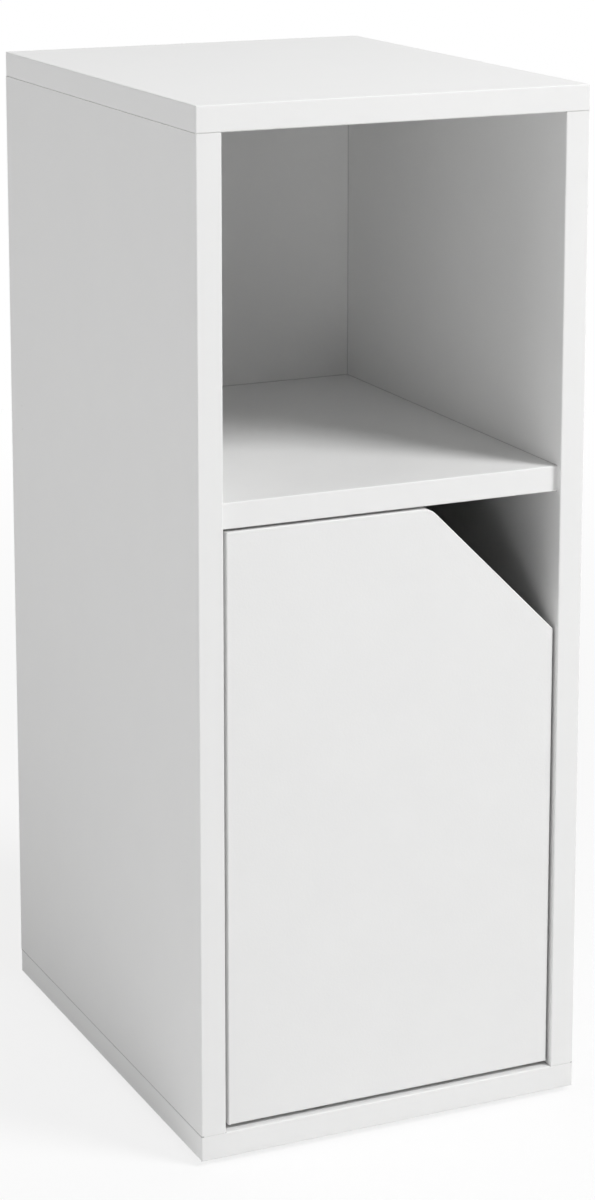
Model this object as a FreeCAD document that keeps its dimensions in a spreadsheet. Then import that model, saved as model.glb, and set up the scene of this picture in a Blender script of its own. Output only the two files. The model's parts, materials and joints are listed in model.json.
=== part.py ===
import FreeCAD, Part
import math
import os
import re
import Sketcher

# Narrow bathroom cabinet: an open compartment over an inset door with a cut-off corner as finger grip.
# The origin is the middle of the footprint on the floor, X runs right, Y back and Z up.

# Driving dimensions in millimetres
dimensions = {
    # carcass of equal boards, top and bottom lying over and under the sides
    "cabinet_width": 240,
    "cabinet_depth": 300,
    "carcass_height": 600,
    "board": 15,
    "lower_clear": 351,
    "shelf_recess": 4,
    # edging strips on the board edges
    "edging": 1,
    "edging_round": 0.8,
    # back sheet in grooves
    "back_sheet": 3,
    "back_inset": 16,
    "groove_depth": 6,
    "groove_play": 0.1,
    "back_end_play": 0.5,
    # inset door
    "door_recess": 3,
    "door_gap_hinge": 3,
    "door_gap_grip": 1.5,
    "door_gap_top": 1.5,
    "door_gap_bottom": 2.5,
    "grip_cut": 80,
    "grip_round": 12,
    # dowelled joints
    "joint_front": 40,
    "joint_rear": 70,
    "dowel_width": 8,
    "dowel_length": 30,
    "dowel_in_face": 10,
    "dowel_chamfer": 1,
    "dowel_play": 0.1,
    "hole_end_play": 0.5,
    # connecting screws from below
    "screw_shank": 6,
    "screw_head": 10,
    "screw_length": 50,
    "screw_tip": 4,
    "screw_socket": 4,
    "screw_socket_depth": 3,
    "screw_play": 0.1,
    # floor glides
    "glide_height": 3,
    "glide_width": 20,
    "glide_chamfer": 0.8,
    "glide_pin": 5,
    "glide_pin_length": 9,
    "glide_inset": 25,
    # cup hinges, measured from the door's rear corner on the hinge side
    "hinge_inset": 80,
    "cup_width": 35,
    "cup_depth": 12,
    "cup_wall": 1,
    "cup_floor": 0.8,
    "cup_bevel": 2,
    "cup_place": 22.5,
    "cup_play": 0.05,
    "flange_width": 39,
    "flange": 1.2,
    "ear_offset": 6,
    "ear_width": 11,
    "ear_round": 4,
    "cup_screw_spacing": 48,
    "cup_notch": 12,
    "cup_notch_width": 16,
    "cup_notch_depth": 8,
    "lug_width": 5.6,
    "lug_rise": 3,
    "lug_depth": 6.5,
    "lug_reach": 4.1,
    "pin_width": 2.2,
    "pin_play": 0.05,
    "pin_seat_play": 0.02,
    "open_pivot_play": 0.8,
    "cup_pin_reach": 10.9,
    "inner_arm_pivot_across": 28.75,
    "inner_arm_pivot_back": -1.9,
    "outer_arm_pivot_across": 41.55,
    "outer_arm_pivot_back": 11.65,
    "inner_cup_pivot_across": 10.4,
    "inner_cup_pivot_back": -3.7,
    "outer_cup_pivot_across": 10,
    "outer_cup_pivot_back": 0.1,
    "inner_knee_across": 17,
    "inner_knee_back": -9,
    "outer_knee_across": 19.5,
    "outer_knee_back": 1,
    "link_bar": 2.4,
    "link_eye": 4.8,
    "cup_eye": 4,
    "open_eye": 5.8,
    "nose_width": 6,
    "nose_bar": 5.2,
    "nose_play": 0.15,
    "nose_clear": 0.4,
    "inner_link_width": 10,
    "link_gap": 0.2,
    "outer_link_sheet": 1.8,
    "arm_sheet": 2.5,
    "arm_width": 16.4,
    "arm_wall": 1.2,
    "arm_length": 82,
    "arm_corner_round": 3,
    "arm_bend": 27,
    "arm_bend_round": 3,
    "arm_wall_clear": 3,
    "arm_wall_height": 4.4,
    "crank_clear": 4,
    "crank_sheet": 3,
    "crank_taper_start": 14,
    "crank_end_width": 9,
    "plate_sheet": 5,
    "plate_width": 13,
    "plate_front": 31,
    "plate_rear_inset": 4,
    "plate_round": 2.5,
    "plate_line": 37,
    "plate_wing": 44,
    "plate_wing_width": 12,
    "plate_wing_sheet": 2.5,
    "plate_wing_round": 4,
    "plate_play": 0.2,
    "plate_screw_spacing": 32,
    "plate_screw_shank": 5,
    "plate_screw_head": 8,
    "plate_screw_length": 13,
    "cup_screw_shank": 3,
    "cup_screw_head": 5.2,
    "cup_screw_length": 12.5,
    "small_screw_tip": 2,
    "small_screw_play": 0.1,
    "arm_screw_shank": 4,
    "arm_screw_head": 8,
    "arm_screw_head_height": 2.2,
    "arm_screw_length": 6.5,
    "clamp_screw_inset": 10,
    "arm_screw_spacing": 18,
    "recess_width": 0.9,
    "recess_depth": 1.2,
    # cuts run past the faces they open by this much
    "overrun": 2,
}

doc = FreeCAD.newDocument("narrow_bathroom_cabinet")
sheet = doc.addObject("Spreadsheet::Sheet", "sizes")
for row, (alias, size) in enumerate(dimensions.items(), start=1):
    sheet.set(f"A{row}", alias)
    sheet.set(f"B{row}", str(size))
    sheet.setAlias(f"B{row}", alias)
doc.recompute()

# Places and sizes that follow from the driving dimensions
front = "(-cabinet_depth / 2)"
inside_left = "(board - cabinet_width / 2)"
inside_right = "(cabinet_width / 2 - board)"
inner_width = "(cabinet_width - 2 * board)"
side_height = "(carcass_height - 2 * board)"
inner_floor = "(glide_height + board)"
top_under = "(glide_height + carcass_height - board)"
shelf_under = "(glide_height + board + lower_clear)"
back_face = "(cabinet_depth - back_inset - back_sheet)"
groove_start = f"({back_face} - groove_play)"
groove_end = f"({back_face} + back_sheet + groove_play)"
joint_back = "(cabinet_depth - joint_rear)"
joint_middle = f"((joint_front + {joint_back}) / 2)"
door_left = f"({inside_left} + door_gap_hinge)"
door_rear = f"({front} + door_recess + board)"
door_floor = f"({inner_floor} + door_gap_bottom)"
door_width = f"({inner_width} - door_gap_hinge - door_gap_grip)"
door_height = "(lower_clear - door_gap_top - door_gap_bottom)"
cut_foot = f"({door_height} - grip_cut)"
cut_head = f"({door_width} - grip_cut)"
miter = "(edging * (sqrt(2) - 1))"
hinge_heights = {"lower": "hinge_inset", "upper": f"({door_height} - hinge_inset)"}
inner_arm_pivot = ("inner_arm_pivot_across", "inner_arm_pivot_back")
outer_arm_pivot = ("outer_arm_pivot_across", "outer_arm_pivot_back")
inner_cup_pivot = ("inner_cup_pivot_across", "inner_cup_pivot_back")
outer_cup_pivot = ("outer_cup_pivot_across", "outer_cup_pivot_back")
inner_knee = ("inner_knee_across", "inner_knee_back")
outer_knee = ("outer_knee_across", "outer_knee_back")
arm_underside = "(plate_sheet - door_gap_hinge + plate_play)"
arm_wall_start = "(plate_line + plate_wing_width / 2 + arm_wall_clear)"
clamp_screw_place = "(arm_length - clamp_screw_inset)"
adjust_screw_place = f"({clamp_screw_place} - arm_screw_spacing)"
outer_link_start = "(inner_link_width / 2 + link_gap)"
outer_link_end = f"({outer_link_start} + outer_link_sheet)"
tolerance = 1e-6    # for telling whether an edge lies in a face


def formula(words):
    return re.sub(r"\b[a-z][a-z_]*\b(?!\()", lambda found: "sizes." + found.group(), words)


def number(words):
    return float(sheet.evalExpression(formula(words)))


def bind(item, prop, words):
    item.setExpression(prop, formula(words))


def place(item, x, y, z):
    for axis, words in zip("xyz", (x, y, z)):
        bind(item, f"Placement.Base.{axis}", words)


def new_body(label):
    body = doc.addObject("PartDesign::Body", label)
    body.Label = label
    return body


def new_sketch(body, name, role, lift="0"):
    sketch = body.newObject("Sketcher::SketchObject", name)
    plane = next(item for item in body.Origin.OriginFeatures if item.Role == role)
    sketch.AttachmentSupport = [(plane, "")]
    sketch.MapMode = "FlatFace"
    sign = "-" if role == "XZ_Plane" else ""    # that plane's normal points to -Y
    bind(sketch, "AttachmentOffset.Base.z", f"{sign}({lift})")
    return sketch


def fix_size(sketch, kind, items, words):
    index = sketch.addConstraint(Sketcher.Constraint(kind, *items, number(words)))
    bind(sketch, f"Constraints[{index}]", words)


def fix_point(sketch, item, end, corner):
    for kind, axis, words in (("DistanceX", -2, corner[0]), ("DistanceY", -1, corner[1])):
        if number(words) == 0:
            sketch.addConstraint(Sketcher.Constraint("PointOnObject", item, end, axis))
        else:
            fix_size(sketch, kind, (-1, 1, item, end), words)


def vector(corner):
    return FreeCAD.Vector(number(corner[0]), number(corner[1]), 0)


def polygon(sketch, corners):
    first = sketch.GeometryCount
    points = [vector(corner) for corner in corners]
    for start, end in zip(points, points[1:] + points[:1]):
        sketch.addGeometry(Part.LineSegment(start, end))
    for side, corner in enumerate(corners):
        following = (side + 1) % len(corners)
        sketch.addConstraint(Sketcher.Constraint("Coincident", first + side, 2, first + following, 1))
        fix_point(sketch, first + side, 1, corner)


def rectangle(left, low, right, high):
    return [(left, low), (right, low), (right, high), (left, high)]


def circles(sketch, centres, width):
    normal = FreeCAD.Vector(0, 0, 1)
    for centre in centres:
        item = sketch.addGeometry(Part.Circle(vector(centre), normal, number(width) / 2))
        fix_point(sketch, item, 3, centre)
        fix_size(sketch, "Diameter", (item,), width)


def stadium(sketch, start, end, width):
    # two half circles round the ends, joined by tangent lines
    normal = FreeCAD.Vector(0, 0, 1)
    low, high = vector(start), vector(end)
    radius = number(width) / 2
    turn = math.atan2(high.y - low.y, high.x - low.x)
    aside = FreeCAD.Vector(-math.sin(turn), math.cos(turn), 0) * radius
    quarter = math.pi / 2
    for centre, start_angle in ((high, turn - quarter), (low, turn + quarter)):
        rim = Part.Circle(centre, normal, radius)
        sketch.addGeometry(Part.ArcOfCircle(rim, start_angle, start_angle + math.pi))
    sketch.addGeometry(Part.LineSegment(high + aside, low + aside))
    sketch.addGeometry(Part.LineSegment(low - aside, high - aside))
    for item, other in ((0, 2), (2, 1), (1, 3), (3, 0)):
        sketch.addConstraint(Sketcher.Constraint("Tangent", item, 2, other, 1))
    fix_point(sketch, 0, 3, end)
    fix_point(sketch, 1, 3, start)
    fix_size(sketch, "Diameter", (0,), width)
    fix_size(sketch, "Diameter", (1,), width)


def extrude(body, kind, sketch, role, length, grow="up"):
    # grow is up, down or both along the axis that crosses the sketch's plane
    doc.recompute()
    before = body.Shape.Volume if kind == "Pocket" else 0
    feature = body.newObject("PartDesign::" + kind, f"{sketch.Name}_{kind}")
    feature.Profile = sketch
    if grow == "both":
        feature.SideType = "Symmetric"
    else:
        along_normal = (grow == "up") != (role == "XZ_Plane")
        feature.Reversed = along_normal if kind == "Pocket" else not along_normal
    bind(feature, "Length", length)
    doc.recompute()
    if kind == "Pocket" and body.Shape.Volume >= before:
        raise ValueError(f"{body.Label}: {sketch.Name} cuts nothing")
    return feature


def pad_polygon(body, name, role, corners, length, grow="up", lift="0"):
    sketch = new_sketch(body, name, role, lift)
    polygon(sketch, corners)
    return extrude(body, "Pad", sketch, role, length, grow)


def cut_polygon(body, name, role, corners, depth, grow, lift="0"):
    sketch = new_sketch(body, name, role, lift)
    polygon(sketch, corners)
    return extrude(body, "Pocket", sketch, role, depth, grow)


def pad_circles(body, name, role, centres, width, length, grow="up", lift="0"):
    sketch = new_sketch(body, name, role, lift)
    circles(sketch, centres, width)
    return extrude(body, "Pad", sketch, role, length, grow)


def drill(body, name, role, centres, width, depth, grow, lift="0"):
    sketch = new_sketch(body, name, role, lift)
    circles(sketch, centres, width)
    return extrude(body, "Pocket", sketch, role, depth, grow)


def pad_stadium(body, name, start, end, width, length, grow="both", lift="0"):
    sketch = new_sketch(body, name, "XY_Plane", lift)
    stadium(sketch, start, end, width)
    return extrude(body, "Pad", sketch, "XY_Plane", length, grow)


def dress(body, kind, prop, size, chosen):
    # rounds or bevels the chosen edges of the body as it stands
    doc.recompute()
    base = body.Tip
    names = [f"Edge{index}" for index, edge in enumerate(base.Shape.Edges, start=1) if chosen(edge)]
    feature = body.newObject("PartDesign::" + kind, f"{body.Label}_{kind}")
    feature.Base = (base, names)
    bind(feature, prop, size)
    doc.recompute()
    return feature


def at(value, target):
    return abs(value - target) < tolerance


def lies_at(edge, axis, words):
    box = edge.BoundBox
    low, high = {"x": (box.XMin, box.XMax), "y": (box.YMin, box.YMax), "z": (box.ZMin, box.ZMax)}[axis]
    return at(low, number(words)) and at(high, number(words))


def slab(label, role, width, height, thickness):
    body = new_body(label)
    pad_polygon(body, label + "_outline", role, rectangle("0", "0", width, height), thickness)
    return body


def turned(label, profile):
    # a round piece on the Z axis, its profile given as radius and height
    body = new_body(label)
    sketch = new_sketch(body, label + "_profile", "XZ_Plane")
    polygon(sketch, profile)
    feature = body.newObject("PartDesign::Revolution", label + "_turned")
    feature.Profile = sketch
    feature.ReferenceAxis = (sketch, ["V_Axis"])
    doc.recompute()
    return body


def group(label, template, spots):
    # copies of one fastener, each at its own spot and pointing along its own direction
    item = doc.addObject("Part::Feature", label)
    item.Label = label
    copies = []
    for spot, direction in spots:
        turn = FreeCAD.Rotation(FreeCAD.Vector(0, 0, 1), FreeCAD.Vector(*direction))
        copy = template.Shape.copy()
        copy.Placement = FreeCAD.Placement(FreeCAD.Vector(*[number(words) for words in spot]), turn)
        copies.append(copy)
    item.Shape = Part.makeCompound(copies)
    return item


nodes = []
up = (0, 0, 1)
right = (1, 0, 0)
left = (-1, 0, 0)
forward = (0, -1, 0)

# Top and bottom panels, grooved for the back sheet and bored for the joints
face_hole = "dowel_in_face + hole_end_play"
edge_hole = "dowel_length - dowel_in_face + hole_end_play"
dowel_hole = "dowel_width + dowel_play"
screw_hole = "screw_shank + screw_play"
side_lines = ("board / 2 - edging", "cabinet_width - board / 2 - edging")
across_groove = rectangle(
    "board - groove_depth - edging",
    f"{groove_start} - edging",
    "cabinet_width - board + groove_depth - edging",
    f"{groove_end} - edging",
)


def spots_on(lines, depths):
    return [(line, f"{depth} - edging") for line in lines for depth in depths]


def lying_panel(label, height):
    body = slab(label, "XY_Plane", "cabinet_width - 2 * edging", "cabinet_depth - edging", "board")
    place(body, "edging - cabinet_width / 2", f"{front} + edging", height)
    nodes.append(body)
    return body


top_panel = lying_panel("top_panel", top_under)
cut_polygon(top_panel, "top_groove", "XY_Plane", across_groove, "groove_depth", "up")
top_rows = ("joint_front", joint_middle, joint_back)
drill(top_panel, "top_holes", "XY_Plane", spots_on(side_lines, top_rows), dowel_hole, face_hole, "up")

bottom_panel = lying_panel("bottom_panel", "glide_height")
cut_polygon(bottom_panel, "bottom_groove", "XY_Plane", across_groove, "groove_depth", "down", "board")
screw_rows = ("joint_front", joint_back)
drill(
    bottom_panel, "bottom_holes", "XY_Plane", spots_on(side_lines, (joint_middle,)), dowel_hole, face_hole,
    "down", "board",
)
drill(
    bottom_panel, "screw_holes", "XY_Plane", spots_on(side_lines, screw_rows), screw_hole,
    "board + overrun", "up",
)
dress(
    bottom_panel, "Chamfer", "Size", "(screw_head - screw_shank) / 2",
    lambda edge: lies_at(edge, "z", "0") and at(edge.BoundBox.XLength, number(screw_hole)),
)
glide_lines = ("glide_inset - edging", "cabinet_width - glide_inset - edging")
glide_rows = ("glide_inset", "cabinet_depth - glide_inset")
drill(
    bottom_panel, "glide_holes", "XY_Plane", spots_on(glide_lines, glide_rows), "glide_pin + dowel_play",
    "glide_pin_length + hole_end_play", "up",
)

# Side panels
shelf_rows = ("joint_front", joint_back)
shelf_line = "lower_clear + board / 2"
plate_depth = "door_recess + board + plate_line"
plate_hole = "plate_screw_shank + small_screw_play"
plate_hole_depth = "plate_screw_length - plate_wing_sheet + hole_end_play"


def side_panel(label, x, inner_lift, inward):
    body = slab(label, "YZ_Plane", "cabinet_depth - edging", side_height, "board")
    place(body, x, f"{front} + edging", inner_floor)
    along_groove = rectangle(f"{groove_start} - edging", "0", f"{groove_end} - edging", side_height)
    cut_polygon(body, label + "_groove", "YZ_Plane", along_groove, "groove_depth", inward, inner_lift)
    middle = ("board / 2",)
    for name, rows, width, lift, grow in (
        ("_top_holes", top_rows, dowel_hole, side_height, "down"),
        ("_foot_hole", (joint_middle,), dowel_hole, "0", "up"),
    ):
        drill(body, label + name, "XY_Plane", spots_on(middle, rows), width, edge_hole, grow, lift)
    drill(
        body, label + "_screw_holes", "XY_Plane", spots_on(middle, screw_rows), screw_hole,
        "screw_length - board + hole_end_play", "up",
    )
    shelf_spots = [(f"{row} - edging", shelf_line) for row in shelf_rows]
    drill(body, label + "_shelf_holes", "YZ_Plane", shelf_spots, dowel_hole, face_hole, inward, inner_lift)
    nodes.append(body)
    return body


left_side = side_panel("left_side", "-cabinet_width / 2", "board", "down")
right_side = side_panel("right_side", inside_right, "0", "up")
plate_spots = [
    (f"{plate_depth} - edging", f"door_gap_bottom + {height} {sign} plate_screw_spacing / 2")
    for height in hinge_heights.values()
    for sign in "+-"
]
drill(left_side, "plate_holes", "YZ_Plane", plate_spots, plate_hole, plate_hole_depth, "down", "board")

# Middle shelf, fixed between the sides and reaching the back sheet
shelf_depth = f"({back_face} - shelf_recess - edging - groove_play)"
middle_shelf = slab("middle_shelf", "XY_Plane", inner_width, shelf_depth, "board")
place(middle_shelf, inside_left, f"{front} + shelf_recess + edging", shelf_under)
shelf_spots = [(f"{row} - shelf_recess - edging", "board / 2") for row in shelf_rows]
for name, grow, lift in (("shelf_left_holes", "up", "0"), ("shelf_right_holes", "down", inner_width)):
    drill(middle_shelf, name, "YZ_Plane", shelf_spots, dowel_hole, edge_hole, grow, lift)
nodes.append(middle_shelf)

# Back sheet, held in the grooves all round
back_overlap = "(groove_depth - back_end_play)"
back_panel = slab(
    "back_panel", "XZ_Plane", f"{inner_width} + 2 * {back_overlap}", f"{side_height} + 2 * {back_overlap}",
    "back_sheet",
)
back_left, back_foot = f"{inside_left} - {back_overlap}", f"{inner_floor} - {back_overlap}"
place(back_panel, back_left, f"{front} + {back_face}", back_foot)
nodes.append(back_panel)

# Edging strips of the carcass, their outer arrises rounded


def front_strip(label, width, height, x, y, z, rounded):
    body = slab(label, "XZ_Plane", width, height, "edging")
    place(body, x, y, z)
    dress(
        body, "Fillet", "Radius", "edging_round",
        lambda edge: lies_at(edge, "y", "0") and rounded(edge),
    )
    nodes.append(body)


def end_strip(label, x, z, outer):
    body = slab(label, "YZ_Plane", "cabinet_depth - edging", "board", "edging")
    place(body, x, f"{front} + edging", z)
    dress(
        body, "Fillet", "Radius", "edging_round",
        lambda edge: lies_at(edge, "x", outer) and not lies_at(edge, "y", "0"),
    )
    nodes.append(body)


def any_edge(edge):
    return True


def standing(edge):
    return edge.BoundBox.ZLength > edge.BoundBox.XLength


def lying(edge):
    return not standing(edge)


outside_left = "(-cabinet_width / 2)"
for name, height in (("top", top_under), ("bottom", "glide_height")):
    front_strip(f"{name}_front_edging", "cabinet_width", "board", outside_left, front, height, any_edge)
    end_strip(f"{name}_left_edging", outside_left, height, "0")
    end_strip(f"{name}_right_edging", "cabinet_width / 2 - edging", height, "edging")
for name, x in (("left", outside_left), ("right", inside_right)):
    front_strip(f"{name}_front_edging", "board", side_height, x, front, inner_floor, standing)
front_strip(
    "shelf_front_edging", inner_width, "board", inside_left, f"{front} + shelf_recess", shelf_under, lying,
)

# Door, cut off at 45 degrees in the upper corner away from the hinges; the cut's upper end is rounded
inner_cut_foot = f"{cut_foot} - {miter}"
inner_cut_head = f"{cut_head} - {miter}"
inner_right = f"{door_width} - edging"
inner_top = f"{door_height} - edging"


def place_on_door(body):
    place(body, door_left, f"{front} + door_recess", door_floor)
    nodes.append(body)


def crosses_at(edge, corner):
    return lies_at(edge, "x", corner[0]) and lies_at(edge, "z", corner[1])


door_panel = new_body("door_panel")
door_corners = [
    ("edging", "edging"),
    (inner_right, "edging"),
    (inner_right, inner_cut_foot),
    (inner_cut_head, inner_top),
    ("edging", inner_top),
]
pad_polygon(door_panel, "door_outline", "XZ_Plane", door_corners, "board")
dress(
    door_panel, "Fillet", "Radius", "grip_round - edging",
    lambda edge: crosses_at(edge, (inner_cut_head, inner_top)),
)
place_on_door(door_panel)
cup_spots = [("cup_place", height) for height in hinge_heights.values()]
cup_bore = "cup_width + 2 * cup_play"
drill(door_panel, "cup_bores", "XZ_Plane", cup_spots, cup_bore, "cup_depth + cup_play", "down", "board")
cup_screw_line = "cup_place + ear_offset"
cup_screw_spots = [
    (cup_screw_line, f"{height} {sign} cup_screw_spacing / 2")
    for height in hinge_heights.values()
    for sign in "+-"
]
drill(
    door_panel, "cup_screw_holes", "XZ_Plane", cup_screw_spots, "cup_screw_shank + small_screw_play",
    "cup_screw_length - flange + hole_end_play", "down", "board",
)

# Door edging: the strip over the top bends round into the cut, the other three are straight


def door_strip(label, corners):
    body = new_body(label)
    pad_polygon(body, label + "_outline", "XZ_Plane", corners, "board")
    place_on_door(body)
    return body


def round_arrises(body, outer):
    def long_arris(edge):
        return (lies_at(edge, "y", "0") or lies_at(edge, "y", "board")) and outer(edge)

    dress(body, "Fillet", "Radius", "edging_round", long_arris)


left_strip = door_strip("door_left_edging", rectangle("0", "0", "edging", door_height))
round_arrises(left_strip, lambda edge: lies_at(edge, "x", "0"))
bottom_strip = door_strip("door_bottom_edging", rectangle("edging", "0", door_width, "edging"))
round_arrises(bottom_strip, lambda edge: lies_at(edge, "z", "0"))
right_corners = [
    (inner_right, "edging"),
    (door_width, "edging"),
    (door_width, cut_foot),
    (inner_right, inner_cut_foot),
]
right_strip = door_strip("door_right_edging", right_corners)
round_arrises(right_strip, lambda edge: lies_at(edge, "x", door_width))
grip_corners = [
    ("edging", inner_top),
    (inner_cut_head, inner_top),
    (inner_right, inner_cut_foot),
    (door_width, cut_foot),
    (cut_head, door_height),
    ("edging", door_height),
]
grip_strip = door_strip("door_grip_edging", grip_corners)
for radius, corner in (
    ("grip_round - edging", (inner_cut_head, inner_top)),
    ("grip_round", (cut_head, door_height)),
):
    dress(grip_strip, "Fillet", "Radius", radius, lambda edge: crosses_at(edge, corner))


def outer_side(edge):
    # points of the outer side lie on the top, on the cut's line or on the bend between them
    top, foot = number(door_height), number(f"{door_width} + {cut_foot}")
    bend = vector((f"{cut_head} - grip_round * (sqrt(2) - 1)", f"{door_height} - grip_round"))
    middle = edge.valueAt((edge.FirstParameter + edge.LastParameter) / 2)
    on_top = at(edge.BoundBox.ZLength, 0) and at(middle.z, top)
    on_cut = at(middle.x + middle.z, foot)
    on_bend = at(math.hypot(middle.x - bend.x, middle.z - bend.y), number("grip_round"))
    return on_top or on_cut or on_bend


round_arrises(grip_strip, outer_side)

# Wooden dowels
dowel = turned("dowel", [
    ("0", "0"),
    ("dowel_width / 2 - dowel_chamfer", "0"),
    ("dowel_width / 2", "dowel_chamfer"),
    ("dowel_width / 2", "dowel_length - dowel_chamfer"),
    ("dowel_width / 2 - dowel_chamfer", "dowel_length"),
    ("0", "dowel_length"),
])
side_centres = ("board / 2 - cabinet_width / 2", "cabinet_width / 2 - board / 2")
top_start = f"{top_under} - dowel_length + dowel_in_face"
bottom_start = f"{inner_floor} - dowel_in_face"
shelf_starts = (f"{inside_left} - dowel_in_face", f"{inside_right} + dowel_in_face - dowel_length")
nodes.append(group("top_dowels", dowel, [
    ((x, f"{front} + {row}", top_start), up) for x in side_centres for row in top_rows
]))
nodes.append(group("bottom_dowels", dowel, [
    ((x, f"{front} + {joint_middle}", bottom_start), up) for x in side_centres
]))
shelf_middle = f"{shelf_under} + board / 2"
nodes.append(group("shelf_dowels", dowel, [
    ((x, f"{front} + {row}", shelf_middle), right) for x in shelf_starts for row in shelf_rows
]))

# Connecting screws with a countersunk head and a hexagon socket
connecting_screw = turned("connecting_screw", [
    ("0", "0"),
    ("screw_head / 2", "0"),
    ("screw_shank / 2", "(screw_head - screw_shank) / 2"),
    ("screw_shank / 2", "screw_length - screw_tip"),
    ("0", "screw_length"),
])
socket_corners = [
    (f"screw_socket / sqrt(3) * cos({60 * side})", f"screw_socket / sqrt(3) * sin({60 * side})")
    for side in range(6)
]
cut_polygon(connecting_screw, "socket", "XY_Plane", socket_corners, "screw_socket_depth", "up")
nodes.append(group("connecting_screws", connecting_screw, [
    ((x, f"{front} + {row}", "glide_height"), up) for x in side_centres for row in screw_rows
]))

# Floor glides with a pin in the bottom panel
glide = turned("glide", [
    ("0", "0"),
    ("glide_width / 2 - glide_chamfer", "0"),
    ("glide_width / 2", "glide_chamfer"),
    ("glide_width / 2", "glide_height"),
    ("glide_pin / 2", "glide_height"),
    ("glide_pin / 2", "glide_height + glide_pin_length"),
    ("0", "glide_height + glide_pin_length"),
])
glide_reach = ("glide_inset - cabinet_width / 2", "cabinet_width / 2 - glide_inset")
nodes.append(group("floor_glides", glide, [
    ((x, f"{front} + {row}", "0"), up) for x in glide_reach for row in glide_rows
]))

# Concealed cup hinges: a cup in the door, a cranked arm on a plate, and two pairs of links between them
cup_inner = "(cup_width - 2 * cup_wall)"
ear_half = "(cup_screw_spacing / 2 + ear_width / 2)"
pin_seat = "pin_width + 2 * pin_seat_play"
pin_bore = "pin_width + 2 * pin_play"
arm_screw_hole = "arm_screw_shank + small_screw_play"


def place_at_hinge(body, height):
    place(body, door_left, door_rear, f"{door_floor} + {height}")
    nodes.append(body)


def hinge_cup(label, height):
    body = new_body(label)
    centre = [("cup_place", "0")]
    pad_circles(body, label + "_bowl", "XZ_Plane", centre, "cup_width", "cup_depth", "down")
    pad_circles(body, label + "_flange", "XZ_Plane", centre, "flange_width", "flange", "up")
    ears = rectangle(
        f"{cup_screw_line} - ear_width / 2", f"-{ear_half}", f"{cup_screw_line} + ear_width / 2", ear_half,
    )
    pad_polygon(body, label + "_ears", "XZ_Plane", ears, "flange", "up")
    dress(
        body, "Fillet", "Radius", "ear_round",
        lambda edge: at(edge.BoundBox.YLength, number("flange"))
        and at(abs(edge.CenterOfMass.z), number(ear_half)),
    )
    hollow_depth = "flange + cup_depth - cup_floor"
    drill(body, label + "_hollow", "XZ_Plane", centre, cup_inner, hollow_depth, "down", "flange")
    dress(
        body, "Chamfer", "Size", "cup_bevel - cup_floor",
        lambda edge: lies_at(edge, "y", "cup_floor - cup_depth"),
    )
    for sign in ("", "-"):
        low, high = f"{sign}(cup_notch_width / 2)", f"{sign}(cup_notch_width / 2 + lug_reach)"
        lug = rectangle(
            "outer_cup_pivot_across - lug_width / 2", low, "outer_cup_pivot_across + lug_width / 2", high,
        )
        pad_polygon(body, label + "_lug", "XZ_Plane", lug, "lug_depth + lug_rise", "up", "-lug_depth")
    trim = new_sketch(body, label + "_trim", "XZ_Plane")
    for width in ("cup_width", "flange_width + overrun"):
        circles(trim, centre, width)
    extrude(body, "Pocket", trim, "XZ_Plane", "lug_depth + overrun", "down")
    dress(body, "Chamfer", "Size", "cup_bevel", lambda edge: lies_at(edge, "y", "-cup_depth"))
    notch = rectangle("0", "-cup_notch_width / 2", "cup_notch", "cup_notch_width / 2")
    cut_polygon(body, label + "_notch", "XZ_Plane", notch, "flange + cup_notch_depth", "down", "flange")
    ears_holes = [(cup_screw_line, f"{sign}cup_screw_spacing / 2") for sign in ("", "-")]
    drill(
        body, label + "_screw_holes", "XZ_Plane", ears_holes, "cup_screw_shank + small_screw_play",
        "flange + overrun", "down", "flange",
    )
    dress(
        body, "Chamfer", "Size", "(cup_screw_head - cup_screw_shank) / 2",
        lambda edge: lies_at(edge, "y", "flange")
        and at(edge.BoundBox.XLength, number("cup_screw_shank + small_screw_play")),
    )
    drill(
        body, label + "_pin_seats", "XY_Plane", [inner_cup_pivot, outer_cup_pivot], pin_seat,
        "2 * cup_pin_reach", "both",
    )
    place_at_hinge(body, height)


def inner_link(label, height):
    body = new_body(label)
    width = "inner_link_width"
    pad_stadium(body, label + "_rear_bar", inner_arm_pivot, inner_knee, "link_bar", width)
    pad_stadium(body, label + "_cup_bar", inner_knee, inner_cup_pivot, "link_bar", width)
    pad_circles(body, label + "_eye", "XY_Plane", [inner_arm_pivot], "link_eye", width, "both")
    pad_circles(body, label + "_open_eye", "XY_Plane", [inner_cup_pivot], "open_eye", width, "both")
    drill(
        body, label + "_fork", "XY_Plane", [inner_arm_pivot], "nose_bar + 2 * nose_clear",
        "nose_width + 2 * nose_play", "both",
    )
    through, open_bore = f"{width} + overrun", "pin_width + 2 * open_pivot_play"
    drill(body, label + "_pivot", "XY_Plane", [inner_arm_pivot], pin_bore, through, "both")
    drill(body, label + "_open_pivot", "XY_Plane", [inner_cup_pivot], open_bore, through, "both")
    place_at_hinge(body, height)


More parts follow.
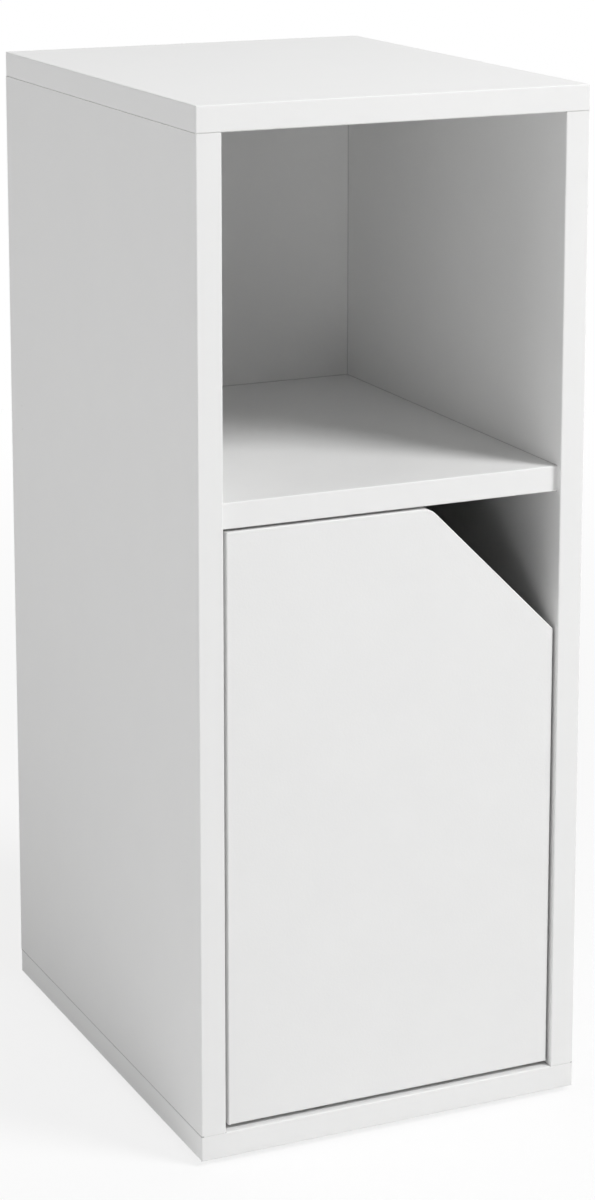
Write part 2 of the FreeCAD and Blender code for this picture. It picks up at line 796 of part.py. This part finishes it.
def outer_links(label, height):
    # a pair of equal cheeks, one above and one below the inner link
    body = new_body(label)
    arm_end, cup_end = outer_arm_pivot, outer_cup_pivot
    cheek = ("outer_link_sheet", "up", outer_link_start)
    bored = ("outer_link_sheet + overrun", "up", outer_link_start)
    features = [
        pad_stadium(body, label + "_rear_bar", arm_end, outer_knee, "link_bar", *cheek),
        pad_stadium(body, label + "_cup_bar", outer_knee, cup_end, "link_bar", *cheek),
        pad_circles(body, label + "_eye", "XY_Plane", [arm_end], "link_eye", *cheek),
        pad_circles(body, label + "_cup_eye", "XY_Plane", [cup_end], "cup_eye", *cheek),
        drill(body, label + "_pivots", "XY_Plane", [arm_end, cup_end], pin_bore, *bored),
    ]
    mirrored = body.newObject("PartDesign::Mirrored", label + "_pair")
    mirrored.Originals = features
    plane = next(item for item in body.Origin.OriginFeatures if item.Role == "XY_Plane")
    mirrored.MirrorPlane = (plane, [""])
    body.Tip = mirrored
    place_at_hinge(body, height)


def hinge_arm(label, height):
    # bent sheet over the plate, cranked across and tapered to a narrow nose that carries two pivots
    body = new_body(label)
    crank_back = "(outer_arm_pivot_back + crank_clear)"
    crank_end = "(outer_arm_pivot_across + nose_bar / 2)"
    web_top = f"({arm_underside} + arm_sheet)"
    outer_bend = (arm_underside, "arm_bend")
    inner_bend = (web_top, "arm_bend + crank_sheet")
    profile = [
        (arm_underside, "arm_length"),
        outer_bend,
        ("outer_arm_pivot_across - nose_bar / 2", crank_back),
        (crank_end, crank_back),
        (crank_end, f"{crank_back} + crank_sheet"),
        inner_bend,
        (web_top, "arm_length"),
    ]
    pad_polygon(body, label + "_sheet", "XY_Plane", profile, "arm_width", "both")
    for radius, bend in (("arm_bend_round + arm_sheet", outer_bend), ("arm_bend_round", inner_bend)):
        dress(
            body, "Fillet", "Radius", radius,
            lambda edge: lies_at(edge, "x", bend[0]) and lies_at(edge, "y", bend[1]),
        )
    dress(
        body, "Fillet", "Radius", "arm_corner_round",
        lambda edge: lies_at(edge, "y", "arm_length") and at(edge.BoundBox.XLength, number("arm_sheet")),
    )
    for sign in ("", "-"):
        side, past_side = f"{sign}(arm_width / 2)", f"{sign}(arm_width / 2 + overrun)"
        end_side, past_end = f"{sign}(crank_end_width / 2)", f"{crank_end} + overrun"
        taper = [
            ("crank_taper_start", side),
            (crank_end, end_side),
            (past_end, end_side),
            (past_end, past_side),
            ("crank_taper_start", past_side),
        ]
        cut_polygon(body, label + "_taper", "XZ_Plane", taper, "2 * arm_length", "both")
        inner_side, wall_end = f"{sign}(arm_width / 2 - arm_wall)", "arm_length - arm_corner_round"
        wall = rectangle(arm_wall_start, inner_side, wall_end, side)
        pad_polygon(body, label + "_wall", "YZ_Plane", wall, "arm_wall_height", "down", arm_underside)
    nose_end = ("outer_arm_pivot_across", f"{crank_back} + crank_sheet / 2")
    pad_stadium(body, label + "_nose", inner_arm_pivot, outer_arm_pivot, "nose_bar", "nose_width")
    pad_stadium(body, label + "_neck", outer_arm_pivot, nose_end, "nose_bar", "nose_width")
    seats = [inner_arm_pivot, outer_arm_pivot]
    drill(body, label + "_pin_seats", "XY_Plane", seats, pin_seat, "nose_width + overrun", "both")
    adjust_spot = [(adjust_screw_place, "0")]
    through = "arm_sheet + overrun"
    drill(body, label + "_adjust_hole", "YZ_Plane", adjust_spot, arm_screw_hole, through, "down", web_top)
    slot = new_sketch(body, label + "_clamp_slot", "YZ_Plane", web_top)
    stadium(slot, (clamp_screw_place, "0"), ("arm_length + overrun", "0"), arm_screw_hole)
    extrude(body, "Pocket", slot, "YZ_Plane", through, "down")
    place_at_hinge(body, height)


def hinge_plate(label, height):
    body = new_body(label)
    foot = "-door_gap_hinge"
    plate_rear = "arm_length - plate_rear_inset"
    block = rectangle("plate_front", "-plate_width / 2", plate_rear, "plate_width / 2")
    pad_polygon(body, label + "_block", "YZ_Plane", block, "plate_sheet", "up", foot)
    dress(
        body, "Fillet", "Radius", "plate_round",
        lambda edge: at(edge.BoundBox.XLength, number("plate_sheet")),
    )
    wing_start, wing_end = (f"plate_line {sign} plate_wing_width / 2" for sign in "-+")
    wing = rectangle(wing_start, "-plate_wing / 2", wing_end, "plate_wing / 2")
    pad_polygon(body, label + "_wing", "YZ_Plane", wing, "plate_wing_sheet", "up", foot)
    dress(
        body, "Fillet", "Radius", "plate_wing_round",
        lambda edge: at(edge.BoundBox.XLength, number("plate_wing_sheet"))
        and at(abs(edge.CenterOfMass.z), number("plate_wing / 2")),
    )
    wing_top = f"{foot} + plate_wing_sheet"
    holes = [("plate_line", f"{sign}plate_screw_spacing / 2") for sign in ("", "-")]
    through = "plate_wing_sheet + overrun"
    drill(body, label + "_screw_holes", "YZ_Plane", holes, plate_hole, through, "down", wing_top)
    dress(
        body, "Chamfer", "Size", "(plate_screw_head - plate_screw_shank) / 2",
        lambda edge: lies_at(edge, "x", wing_top) and at(edge.BoundBox.YLength, number(plate_hole)),
    )
    tapped = [(clamp_screw_place, "0"), (adjust_screw_place, "0")]
    drill(
        body, label + "_tapped_holes", "YZ_Plane", tapped, arm_screw_hole, "plate_sheet + overrun", "down",
        f"{foot} + plate_sheet",
    )
    place_at_hinge(body, height)


def hinge_pins(label, height, pins):
    body = new_body(label)
    for name, centre, start, end in pins:
        length = f"{end} - ({start})"
        pad_circles(body, label + name, "XY_Plane", [centre], "pin_width", length, "up", start)
    place_at_hinge(body, height)


for name, height in hinge_heights.items():
    hinge_cup(f"{name}_hinge_cup", height)
    hinge_plate(f"{name}_hinge_plate", height)
    hinge_arm(f"{name}_hinge_arm", height)
    inner_link(f"{name}_inner_link", height)
    outer_links(f"{name}_outer_links", height)
    hinge_pins(f"{name}_arm_pins", height, [
        ("_inner", inner_arm_pivot, "-inner_link_width / 2", "inner_link_width / 2"),
        ("_outer", outer_arm_pivot, f"-{outer_link_end}", outer_link_end),
    ])
    hinge_pins(f"{name}_cup_pins", height, [
        ("_inner", inner_cup_pivot, "-cup_pin_reach", "cup_pin_reach"),
        ("_above", outer_cup_pivot, outer_link_start, "cup_pin_reach"),
        ("_below", outer_cup_pivot, "-cup_pin_reach", f"-{outer_link_start}"),
    ])

# Screws of the hinges


def cross_recess(body, span, lift="0"):
    half_span, half_width = f"{span} / 2", "recess_width / 2"
    for name, across, along in (("_slot", half_span, half_width), ("_cross_slot", half_width, half_span)):
        slot = rectangle(f"-{across}", f"-{along}", across, along)
        cut_polygon(body, body.Label + name, "XY_Plane", slot, "recess_depth", "up", lift)


def countersunk(label, head, shank, length):
    body = turned(label, [
        ("0", "0"),
        (f"{head} / 2", "0"),
        (f"{shank} / 2", f"({head} - {shank}) / 2"),
        (f"{shank} / 2", f"{length} - small_screw_tip"),
        ("0", length),
    ])
    cross_recess(body, shank)
    return body


cup_screw = countersunk("cup_screw", "cup_screw_head", "cup_screw_shank", "cup_screw_length")
plate_screw = countersunk("plate_screw", "plate_screw_head", "plate_screw_shank", "plate_screw_length")
arm_screw = turned("arm_screw", [
    ("0", "-arm_screw_head_height"),
    ("arm_screw_head / 2", "-arm_screw_head_height"),
    ("arm_screw_head / 2", "0"),
    ("arm_screw_shank / 2", "0"),
    ("arm_screw_shank / 2", "arm_screw_length"),
    ("0", "arm_screw_length"),
])
cross_recess(arm_screw, "arm_screw_shank", "-arm_screw_head_height")
nodes.append(group("cup_screws", cup_screw, [
    ((f"{door_left} + {across}", f"{door_rear} + flange", f"{door_floor} + {height}"), forward)
    for across, height in cup_screw_spots
]))
nodes.append(group("plate_screws", plate_screw, [
    (
        (
            f"{inside_left} + plate_wing_sheet",
            f"{door_rear} + plate_line",
            f"{door_floor} + {height} {sign} plate_screw_spacing / 2",
        ),
        left,
    )
    for height in hinge_heights.values()
    for sign in "+-"
]))
nodes.append(group("arm_screws", arm_screw, [
    (
        (
            f"{door_left} + {arm_underside} + arm_sheet",
            f"{door_rear} + {along}",
            f"{door_floor} + {height}",
        ),
        left,
    )
    for height in hinge_heights.values()
    for along in (clamp_screw_place, adjust_screw_place)
]))

# Every piece is checked before any file is written
doc.recompute()
for item in doc.Objects:
    if {"Invalid", "Error"} & set(item.State):
        raise ValueError(f"{item.Label} failed: {item.State}")
for node in nodes:
    if node.Shape.isNull() or not node.Shape.isValid() or not node.Shape.Solids:
        raise ValueError(f"{node.Label} has no valid solid")

os.makedirs("parts", exist_ok=True)
for node in nodes:
    node.Shape.exportStep(f"parts/{node.Label}.step")
print(f"{len(nodes)} nodes written")
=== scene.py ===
import json
import math

import bpy
import numpy as np
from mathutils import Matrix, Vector


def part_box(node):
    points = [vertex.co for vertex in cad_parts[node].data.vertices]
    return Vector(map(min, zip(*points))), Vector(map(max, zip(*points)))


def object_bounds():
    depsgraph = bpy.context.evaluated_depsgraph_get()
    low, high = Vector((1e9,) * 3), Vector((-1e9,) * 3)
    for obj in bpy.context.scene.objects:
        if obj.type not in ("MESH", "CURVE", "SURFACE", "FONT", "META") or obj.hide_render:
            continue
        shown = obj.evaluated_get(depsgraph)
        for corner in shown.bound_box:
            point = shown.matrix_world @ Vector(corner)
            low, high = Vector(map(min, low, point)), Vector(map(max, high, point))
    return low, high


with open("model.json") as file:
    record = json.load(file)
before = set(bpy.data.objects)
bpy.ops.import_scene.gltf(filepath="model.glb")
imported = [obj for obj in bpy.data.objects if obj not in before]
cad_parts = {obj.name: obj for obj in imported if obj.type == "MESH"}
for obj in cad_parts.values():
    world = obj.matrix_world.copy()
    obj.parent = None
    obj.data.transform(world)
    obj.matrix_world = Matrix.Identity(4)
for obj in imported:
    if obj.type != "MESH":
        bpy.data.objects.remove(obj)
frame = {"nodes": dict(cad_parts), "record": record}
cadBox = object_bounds()
nodes = frame["nodes"]
print("cabinet loaded:", len(nodes), "pieces")

white = (1, 1, 1)
black = (0, 0, 0)


def opaque(colour):
    return (*colour, 1)


# Shader maths: a Wire is one socket of a node tree, and sums on wires add Math nodes
class Wire:
    def __init__(self, tree, socket=None):
        self.tree = tree
        self.socket = socket

    def feed(self, socket, value):
        if isinstance(value, Wire):
            self.tree.links.new(value.socket, socket)
        else:
            socket.default_value = value

    def add(self, kind, settings=None, inputs=None, out=0):
        # a node of any kind, its settings first and then its sockets; gives the wire of one output
        node = self.tree.nodes.new(kind)
        for name, value in (settings or {}).items():
            if name == "stops":    # position and colour of each stop of a ramp
                ramp = node.color_ramp
                while len(ramp.elements) < len(value):
                    ramp.elements.new(0.5)
                for element, (position, colour) in zip(ramp.elements, value):
                    element.position = position
                    element.color = opaque(colour)
            else:
                setattr(node, name, value)
        for name, value in (inputs or {}).items():
            self.feed(node.inputs[name], value)
        return Wire(self.tree, node.outputs[out])

    def outputs(self, *names):
        # the other outputs of the node that this wire comes from
        return [Wire(self.tree, self.socket.node.outputs[name]) for name in names]

    def math(self, operation, *values):
        return self.add("ShaderNodeMath", {"operation": operation}, dict(enumerate(values)))

    def __add__(self, other):
        return self.math("ADD", self, other)

    def __sub__(self, other):
        return self.math("SUBTRACT", self, other)

    def __rsub__(self, other):
        return self.math("SUBTRACT", other, self)

    def __mul__(self, other):
        return self.math("MULTIPLY", self, other)

    def __gt__(self, other):
        return self.math("GREATER_THAN", self, other)

    def __lt__(self, other):
        return self.math("LESS_THAN", self, other)

    __radd__ = __add__
    __rmul__ = __mul__

    def mix(self, first, second):
        # this wire is the share of the second colour; a Mix node has its colours at 6 and 7, and 2 comes out
        colours = {6: first, 7: second}
        return self.add("ShaderNodeMix", {"data_type": "RGBA"}, {"Factor": self, **colours}, out=2)

    def stretch(self, low, high):
        # carries 0..1 to low..high
        return self * (high - low) + low

    def ease(self, span, low=0.0, high=1.0):
        # goes smoothly from low to high over the span
        return self.add(
            "ShaderNodeMapRange",
            {"interpolation_type": "SMOOTHSTEP"},
            {"Value": self, "From Min": span[0], "From Max": span[1], "To Min": low, "To Max": high},
        )


class Finish:
    # a material with its principled shader and the place of each point in metres
    def __init__(self, name):
        self.material = bpy.data.materials.new(name)
        self.material.use_nodes = True
        tree = self.material.node_tree
        self.shader = tree.nodes["Principled BSDF"]
        self.wire = Wire(tree)
        self.place = self.wire.add("ShaderNodeTexCoord", out="Object")
        split = self.wire.add("ShaderNodeSeparateXYZ", inputs={"Vector": self.place})
        self.x, self.y, self.z = split.outputs("X", "Y", "Z")

    def stretched(self, scale):
        # the place with its axes scaled: a pattern grows longer along an axis whose scale is under 1
        return self.wire.add("ShaderNodeMapping", inputs={"Vector": self.place, "Scale": scale})

    def noise(self, size, detail=2, rough=0.5, place=None):
        # even noise whose lumps are about size metres across
        return self.wire.add(
            "ShaderNodeTexNoise",
            inputs={"Vector": place or self.place, "Scale": 1 / size, "Detail": detail, "Roughness": rough},
        )

    def cells(self, size):
        # a random tone for each cell of about size metres
        colour = self.wire.add(
            "ShaderNodeTexVoronoi", inputs={"Vector": self.place, "Scale": 1 / size}, out="Color",
        )
        return self.wire.add("ShaderNodeSeparateColor", inputs={"Color": colour})

    def bump(self, height, depth=1.0):
        # height times depth is in metres
        return self.wire.add("ShaderNodeBump", inputs={"Height": height, "Distance": depth})

    def set(self, **sockets):
        names = {
            "colour": "Base Color",
            "roughness": "Roughness",
            "metallic": "Metallic",
            "specular": "Specular IOR Level",
            "normal": "Normal",
        }
        for name, value in sockets.items():
            self.wire.feed(self.shader.inputs[names[name]], value)
        return self.material


# Joint lines: painted shade, a thin dark line mixed into the colour where two boards meet, in the inner
# corners and along the lower outer seams of the two sides, and a dark joint line at the rear where the raw
# edges of the sides end under the top and on the bottom
joint = {
    "boards": ("middle_shelf", "shelf_front_edging", "back_panel", "top_panel", "bottom_panel"),
    "reach": 0.0004,    # half the width of a line
    "innerShade": 0.24,
    "outerShade": 0.4,
    "rearShade": 0.65,
    "edge": 0.0015,    # how far in from the outer faces the outer seams are drawn
    "rawDepth": 0.00004,    # how deep in from the rear the boards count as raw
}
shelf, strip, back, top, bottom = (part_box(name) for name in joint["boards"])


def rawEdge(finish, look):
    return finish.y > top[1][1] - look["rawDepth"]


# painted shade: darkens the inner corners and the lower outer seams of the sides, and draws a dark joint
# line at the rear
def jointShade(finish, look):
    measure = finish.wire.math
    side = measure("ABSOLUTE", finish.x)
    across = measure("ABSOLUTE", side - shelf[1][0])
    along = measure("ABSOLUTE", finish.y - back[0][1])
    seam = measure("ABSOLUTE", finish.z - bottom[1][2])
    ends = measure("MINIMUM", seam, measure("ABSOLUTE", finish.z - top[0][2]))
    # the shelf's own levels count only behind its front edge
    up = ends
    ahead = finish.y < strip[0][1]
    for level in (shelf[0][2], shelf[1][2]):
        up = measure("MINIMUM", up, measure("ABSOLUTE", finish.z - level) + ahead)
    # on an inner corner the middle one of the three distances is small
    near = measure("MINIMUM", across, along)
    far = measure("MAXIMUM", across, along)
    middle = measure("MAXIMUM", near, measure("MINIMUM", far, up))
    inner = middle < look["reach"]
    outer = (seam < look["reach"]) * (side > cadBox[1][0] - look["edge"])
    rear = (ends < look["reach"]) * (side > shelf[1][0]) * rawEdge(finish, look)
    shade = measure("MAXIMUM", inner * look["innerShade"], outer * look["outerShade"])
    return measure("MAXIMUM", shade, rear * look["rearShade"])


# mixes black into a colour where the painted joint shade and the rear joint line fall
def withPaintedJointShade(finish, colour):
    return jointShade(finish, joint).mix(colour, opaque(black))


# White melamine: faint mottling and a fine pearl emboss, as colour, roughness and height
def melamine(finish, look):
    mottle = finish.noise(look["mottle"], detail=4, rough=0.55)
    colour = mottle.mix(opaque(look["greyer"]), opaque(look["white"]))
    pearl = finish.noise(look["pearl"], detail=1)
    return colour, mottle.stretch(*look["gloss"]), pearl * look["pearlDepth"]


# Boards: melamine faces, and raw particle board where the rear edge is bare
board = {
    "white": (0.845, 0.845, 0.84),
    "greyer": (0.815, 0.815, 0.812),
    "mottle": 0.035,
    "pearl": 0.0011,
    "pearlDepth": 0.00004,
    "gloss": (0.36, 0.46),
    "specular": 0.42,
    "flake": 0.0035,
    "fineFlake": 0.0012,
    "coarseShare": 0.6,
    "fineShare": 0.4,
    "flakeColours": [
        (0.0, (0.29, 0.19, 0.105)),
        (0.35, (0.54, 0.39, 0.23)),
        (0.7, (0.68, 0.52, 0.33)),
        (1.0, (0.78, 0.64, 0.45)),
    ],
    "flakeDepth": 0.0003,
    "rawDullness": 0.45,
}


def makeBoard(look):
    finish = Finish("whiteBoard")
    colour, roughness, pearl = melamine(finish, look)
    raw = rawEdge(finish, joint)
    coarse = finish.cells(look["flake"]) * look["coarseShare"]
    flakeTone = coarse + finish.cells(look["fineFlake"]) * look["fineShare"]
    flakes = finish.wire.add("ShaderNodeValToRGB", {"stops": look["flakeColours"]}, {"Fac": flakeTone})
    return finish.set(
        colour=withPaintedJointShade(finish, raw.mix(colour, flakes)),
        roughness=raw * look["rawDullness"] + roughness,
        specular=look["specular"],
        normal=finish.bump(pearl + raw * flakeTone * look["flakeDepth"]),
    )


# Plastic edging: nearly the same white, smoother and a little glossier
edging = {
    "white": (0.848, 0.848, 0.843),
    "greyer": (0.832, 0.832, 0.828),
    "mottle": 0.06,
    "pearl": 0.0007,
    "pearlDepth": 0.000012,
    "gloss": (0.3, 0.37),
    "specular": 0.45,
}


def makeEdging(look):
    finish = Finish("whiteEdging")
    colour, roughness, pearl = melamine(finish, look)
    return finish.set(
        colour=withPaintedJointShade(finish, colour),
        roughness=roughness,
        specular=look["specular"],
        normal=finish.bump(pearl),
    )


# Back sheet: painted white towards the room, bare brown fibre board behind
backSheet = {
    "white": (0.835, 0.835, 0.83),
    "greyer": (0.805, 0.805, 0.802),
    "mottle": 0.03,
    "pearl": 0.0016,
    "pearlDepth": 0.00005,
    "gloss": (0.42, 0.52),
    "specular": 0.4,
    "bareDepth": 0.0001,
    "fibre": 0.0008,
    "fibreStretch": (1, 1, 0.35),
    "clump": 0.005,
    "cloud": 0.09,
    "contrast": (-0.75, 1.75),
    "fibreShare": 0.3,
    "clumpShare": 0.4,
    "cloudShare": 0.3,
    "brown": (0.27, 0.17, 0.092),
    "paleBrown": (0.50, 0.35, 0.21),
    "fibreDepth": 0.00008,
    "bareDullness": 0.3,
}


def makeBackSheet(look):
    finish = Finish("whiteHardboard")
    colour, roughness, pearl = melamine(finish, look)
    bare = finish.y > back[1][1] - look["bareDepth"]
    fibre = finish.noise(look["fibre"], detail=6, rough=0.7, place=finish.stretched(look["fibreStretch"]))
    # fibres lie in small clumps, and the sheet is cloudy where it was pressed harder
    clump = finish.noise(look["clump"], detail=5, rough=0.65).stretch(*look["contrast"])
    cloud = finish.noise(look["cloud"], detail=4, rough=0.6).stretch(*look["contrast"])
    tone = fibre * look["fibreShare"] + clump * look["clumpShare"] + cloud * look["cloudShare"]
    brown = tone.mix(opaque(look["brown"]), opaque(look["paleBrown"]))
    return finish.set(
        colour=withPaintedJointShade(finish, bare.mix(colour, brown)),
        roughness=bare * look["bareDullness"] + roughness,
        specular=look["specular"],
        normal=finish.bump(pearl + bare * fibre * look["fibreDepth"]),
    )


# Beech dowels: fine streaks and short darker flecks
beech = {
    "pale": (0.70, 0.52, 0.34),
    "dark": (0.50, 0.33, 0.19),
    "streak": 0.0006,
    "streakStretch": (1, 1, 0.08),
    "streakShare": 0.75,
    "streakDepth": 0.00008,
    "fleck": 0.0011,
    "fleckStretch": (1, 1, 0.25),
    "fleckFrom": 0.64,
    "fleckShare": 0.25,
    "gloss": (0.55, 0.7),
}


def makeBeech(look):
    finish = Finish("beechDowel")
    streak = finish.noise(look["streak"], detail=3, rough=0.6, place=finish.stretched(look["streakStretch"]))
    fleck = finish.noise(look["fleck"], detail=1, place=finish.stretched(look["fleckStretch"]))
    darker = streak * look["streakShare"] + (fleck > look["fleckFrom"]) * look["fleckShare"]
    return finish.set(
        colour=darker.mix(opaque(look["pale"]), opaque(look["dark"])),
        roughness=streak.stretch(*look["gloss"]),
        normal=finish.bump(streak, look["streakDepth"]),
    )


# Plated metals: a bright base with rolling lines, soft clouding and a few dull spots
plating = {
    "lineStretch": (1, 0.05, 1),
    "lineShare": 0.25,
    "lineDepth": 0.00001,
    "cloud": 0.006,
    "cloudShare": 0.6,
    "spot": 0.0015,
    "spotFrom": 0.7,
    "spotShare": 0.15,
}
hingeSteel = {
    "bright": (0.66, 0.65, 0.62),
    "dull": (0.52, 0.51, 0.49),
    "gloss": (0.2, 0.36),
    "line": 0.0004,
}
zincScrew = {
    "bright": (0.62, 0.64, 0.66),
    "dull": (0.47, 0.49, 0.52),
    "gloss": (0.24, 0.42),
    "line": 0.0003,
}
pinSteel = {
    "bright": (0.58, 0.58, 0.58),
    "dull": (0.42, 0.42, 0.42),
    "gloss": (0.18, 0.3),
    "line": 0.0002,
}


def makeMetal(name, look, plate):
    finish = Finish(name)
    line = finish.noise(look["line"], detail=2, rough=0.6, place=finish.stretched(plate["lineStretch"]))
    cloud = finish.noise(plate["cloud"], detail=3)
    spots = finish.noise(plate["spot"], detail=1) > plate["spotFrom"]
    wear = cloud * plate["cloudShare"] + line * plate["lineShare"] + spots * plate["spotShare"]
    return finish.set(
        colour=wear.mix(opaque(look["bright"]), opaque(look["dull"])),
        roughness=wear.stretch(*look["gloss"]),
        metallic=1.0,
        normal=finish.bump(line, plate["lineDepth"]),
    )


# Glides: pale moulded plastic, scuffed underneath where they slide
glide = {
    "pale": (0.72, 0.72, 0.71),
    "scuffed": (0.5, 0.49, 0.47),
    "scuffTo": 0.0004,
    "scratch": 0.0009,
    "scratchStretch": (0.15, 1, 1),
    "scratchDepth": 0.00003,
    "gloss": (0.42, 0.7),
    "specular": 0.4,
}


def makeGlide(look):
    finish = Finish("glidePlastic")
    scratch = finish.noise(
        look["scratch"], detail=4, rough=0.7, place=finish.stretched(look["scratchStretch"]),
    )
    under = 1 - (finish.z > look["scuffTo"])
    scuff = under * scratch
    return finish.set(
        colour=scuff.mix(opaque(look["pale"]), opaque(look["scuffed"])),
        roughness=scuff.stretch(*look["gloss"]),
        specular=look["specular"],
        normal=finish.bump(scratch, look["scratchDepth"]),
    )


finishes = {
    "white_board": makeBoard(board),
    "white_edging": makeEdging(edging),
    "white_hardboard": makeBackSheet(backSheet),
    "dowel_wood": makeBeech(beech),
    "glide_plastic": makeGlide(glide),
    "hinge_steel": makeMetal("hingeSteel", hingeSteel, plating),
    "zinc_screw": makeMetal("zincScrew", zincScrew, plating),
    "pin_steel": makeMetal("pinSteel", pinSteel, plating),
}
for row in frame["record"]["subparts"]:
    piece = nodes[row["node"]]
    for slot in piece.material_slots:
        slot.material = finishes[row["material_slot"]]
print("finishes:", ", ".join(sorted(finishes)))


def seenDirectly(wire):
    # 1 for what the camera sees, straight or in a reflection or through glass
    path = wire.add("ShaderNodeLightPath")
    straight, mirrored, through = path.outputs("Is Camera Ray", "Is Glossy Ray", "Is Transmission Ray")
    return wire.math("MAXIMUM", wire.math("MAXIMUM", straight, mirrored), through)


# Floor: one large sheet, white to the camera but for the cabinet's own shadow
stage = {
    "reach": 40.0,
    "steps": 24,
    "drop": 0.0002,
    "pale": (0.9, 0.9, 0.9),
    # the painted shade grey that bounced light meets on the floor beside the left side
    "shaded": (0.22, 0.22, 0.22),
    "shadeReach": 0.09,
    "grain": 0.004,
    "gloss": (0.85, 0.95),
    "specular": 0.1,
    "glowNear": 0.8,
    "glowFar": 1.0,
    "fade": (0.5, 1.8),
}


def floorMesh(look):
    # the grid point (u, v), each from -1 to 1, lies at reach times their cubes, so that the squares are
    # small near the middle
    lines = np.linspace(-1, 1, look["steps"] + 1) ** 3 * look["reach"]
    across, along = np.meshgrid(lines, lines, indexing="ij")
    points = np.stack([across, along, np.full_like(across, -look["drop"])], axis=-1).reshape(-1, 3)
    rows = len(lines)
    first = (np.arange(rows - 1)[:, None] * rows + np.arange(rows - 1)).ravel()
    faces = np.stack([first, first + rows, first + rows + 1, first + 1], axis=-1)
    mesh = bpy.data.meshes.new("floor")
    mesh.from_pydata(points.tolist(), [], faces.tolist())
    return mesh


def floorFinish(look):
    finish = Finish("paleFloor")
    wire = finish.wire
    seen = seenDirectly(wire)
    # beside the left side the floor's colour is painted dark for bounced light only, as painted shade that
    # darkens the foot of the left side; the camera still sees the pale colour
    fromSide = wire.math("ABSOLUTE", finish.x - cadBox[0][0])
    beyondRear = finish.y - cadBox[1][1]
    beforeFront = cadBox[0][1] + look["shadeReach"] - finish.y
    away = wire.math("MAXIMUM", fromSide, wire.math("MAXIMUM", beyondRear, beforeFront))
    clear = away.ease((0, look["shadeReach"]))
    finish.set(
        colour=wire.math("MAXIMUM", clear, seen).mix(opaque(look["shaded"]), opaque(look["pale"])),
        roughness=finish.noise(look["grain"]).stretch(*look["gloss"]),
        specular=look["specular"],
    )
    # the glow grows with the distance from the cabinet, so that only the floor near it shows its shadow
    glow = wire.add("ShaderNodeEmission", inputs={"Color": opaque(white), "Strength": 1.0})
    distance = wire.add("ShaderNodeVectorMath", {"operation": "LENGTH"}, {0: finish.place}, out="Value")
    share = seen * distance.ease(look["fade"], look["glowNear"], look["glowFar"])
    lit = Wire(wire.tree, finish.shader.outputs[0])
    both = wire.add("ShaderNodeMixShader", inputs={0: share, 1: lit, 2: glow})
    wire.feed(wire.tree.nodes["Material Output"].inputs["Surface"], both)
    return finish.material


floor = bpy.data.objects.new("floor", floorMesh(stage))
floor.data.materials.append(floorFinish(stage))
bpy.context.scene.collection.objects.link(floor)
print("floor laid")


# Light: a pale room, a soft key lamp at the front right, and weaker lamps at the left, low in front, above
# and behind; a lamp without glare isn't mirrored in the satin faces
light = {
    "room": 0.18,
    "seenRoom": 1.0,
    "lamps": {
        "keyLamp": {
            "at": (1.4, -1.75, 2.5), "aim": (0.0, -0.15, 0.45), "size": 1.1, "power": 77.0, "glare": False,
        },
        "leftLamp": {
            "at": (-2.6, -0.1, 1.0), "aim": (-0.12, 0.0, 0.3), "size": 1.6, "power": 16.2, "glare": True,
        },
        "frontLamp": {
            "at": (-1.45, -2.35, 0.12), "aim": (0.0, 0.0, 0.4), "size": 0.5, "power": 5.5, "glare": True,
        },
        "overheadLamp": {
            "at": (0.0, 0.0, 2.8), "aim": (0.0, 0.0, 0.0), "size": 1.5, "power": 5.6, "glare": True,
        },
        "rearLamp": {
            "at": (0.9, 2.5, 0.4), "aim": (0.0, 0.15, 0.3), "size": 1.2, "power": 10.0, "glare": False,
        },
    },
}


def placed(name, data, at, gaze):
    # a lamp or camera at a place, looking along the gaze
    holder = bpy.data.objects.new(name, data)
    holder.location = at
    holder.rotation_euler = gaze.to_track_quat("-Z", "Y").to_euler()
    bpy.context.scene.collection.objects.link(holder)
    return holder


def makeLight(look):
    world = bpy.data.worlds.new("paleRoom")
    bpy.context.scene.world = world
    world.use_nodes = True
    wire = Wire(world.node_tree)
    background = world.node_tree.nodes["Background"]
    wire.feed(background.inputs["Color"], opaque(white))
    wire.feed(background.inputs["Strength"], seenDirectly(wire).stretch(look["room"], look["seenRoom"]))
    for name, lampLook in look["lamps"].items():
        lamp = bpy.data.lights.new(name, "AREA")
        lamp.shape = "DISK"
        lamp.size = lampLook["size"]
        lamp.energy = lampLook["power"]
        gaze = Vector(lampLook["aim"]) - Vector(lampLook["at"])
        placed(name, lamp, lampLook["at"], gaze).visible_glossy = lampLook["glare"]


makeLight(light)
print("lamps:", ", ".join(light["lamps"]))


# Camera: from the left front and above, looking slightly down
view = {
    "eye": (-0.74877, -1.64139, 0.80125),
    "turn": 24.677,
    "tilt": 11.039,
    "lens": 92.4,
    "shift": (0.004, -0.23),
}


def makeCamera(look):
    camera = bpy.data.cameras.new("camera")
    camera.lens = look["lens"]
    camera.shift_x, camera.shift_y = look["shift"]
    turn = math.radians(look["turn"])
    tilt = math.radians(look["tilt"])
    gaze = Vector((math.sin(turn) * math.cos(tilt), math.cos(turn) * math.cos(tilt), -math.sin(tilt)))
    bpy.context.scene.camera = placed("camera", camera, look["eye"], gaze)


makeCamera(view)
bpy.context.scene.view_settings.view_transform = "Standard"
print("camera ready")
